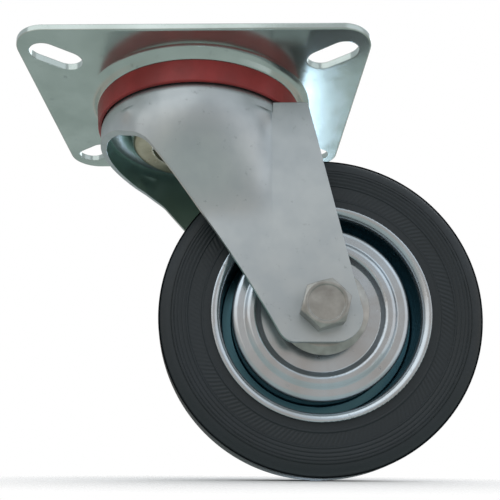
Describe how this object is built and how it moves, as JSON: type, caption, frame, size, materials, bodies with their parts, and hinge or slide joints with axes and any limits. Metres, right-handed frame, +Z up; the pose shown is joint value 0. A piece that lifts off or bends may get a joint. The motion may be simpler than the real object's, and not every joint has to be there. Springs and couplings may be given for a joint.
{
  "type": "swivel plate castor",
  "caption": "Swivel castor with a slotted top plate, ball-raced pressed steel fork, red dust ring and a solid rubber wheel on a pressed steel rim.",
  "frame": {"origin": "on the swivel axis, level with the top face of the plate", "axes": "+Z up along the swivel axis, +X from the swivel axis towards the axle at rest, +Y along the axle, away from the bolt's head"},
  "size_m": [0.139, 0.085, 0.125],
  "materials": {
    "zinc_plate": "zinc plated pressed steel, satin",
    "zinc_fork": "zinc plated pressed steel, satin grey-blue",
    "zinc_rim": "bright zinc plated pressed steel, glossy",
    "zinc_fastener": "bright zinc plated steel, machined",
    "bearing_steel": "polished hardened steel",
    "plain_steel": "turned steel, lightly oiled",
    "seal_plastic": "red moulded plastic, satin",
    "cage_nylon": "grey nylon",
    "insert_nylon": "blue nylon",
    "tyre_rubber": "charcoal solid rubber, satin with a mould bloom"
  },
  "bodies": {
    "plate": {"top_plate": "zinc_plate", "king_pin": "zinc_fastener", "lower_race_cup": "zinc_plate", "dust_seal": "seal_plastic"},
    "fork": {"fork": "zinc_fork", "axle_bolt": "zinc_fastener", "axle_nut": "zinc_fastener", "nut_insert": "insert_nylon", "axle_sleeve": "plain_steel", "side_washer_near": "zinc_fastener", "side_washer_far": "zinc_fastener"},
    "wheel": {"tyre": "tyre_rubber", "rim_shell_near": "zinc_rim", "rim_shell_far": "zinc_rim", "hub_tube": "plain_steel", "bearing_retainer_near": "cage_nylon", "bearing_retainer_far": "cage_nylon"},
    "upper_ball_ring": {"upper_balls": "bearing_steel"},
    "lower_ball_ring": {"lower_balls": "bearing_steel"},
    "roller_bearing": {"roller_cage": "cage_nylon", "bearing_rollers": "bearing_steel"}
  },
  "joints": [
    {"name": "swivel", "type": "hinge", "parent": "plate", "child": "fork", "pos_m": [0, 0, 0], "axis": [0, 0, 1], "continuous": true},
    {"name": "wheel_spin", "type": "hinge", "parent": "fork", "child": "wheel", "pos_m": [0.038, 0, -0.075], "axis": [0, 1, 0], "continuous": true},
    {"name": "upper_ball_roll", "type": "hinge", "parent": "plate", "child": "upper_ball_ring", "pos_m": [0, 0, -0.0075], "axis": [0, 0, 1], "continuous": true},
    {"name": "lower_ball_roll", "type": "hinge", "parent": "plate", "child": "lower_ball_ring", "pos_m": [0, 0, -0.0125], "axis": [0, 0, 1], "continuous": true},
    {"name": "cage_roll", "type": "hinge", "parent": "fork", "child": "roller_bearing", "pos_m": [0.038, 0, -0.075], "axis": [0, 1, 0], "continuous": true}
  ],
  "couplings": [
    {"joint": "upper_ball_roll", "follows": "swivel", "ratio": 0.5},
    {"joint": "lower_ball_roll", "follows": "swivel", "ratio": 0.5},
    {"joint": "cage_roll", "follows": "wheel_spin", "ratio": 0.6026}
  ]
}
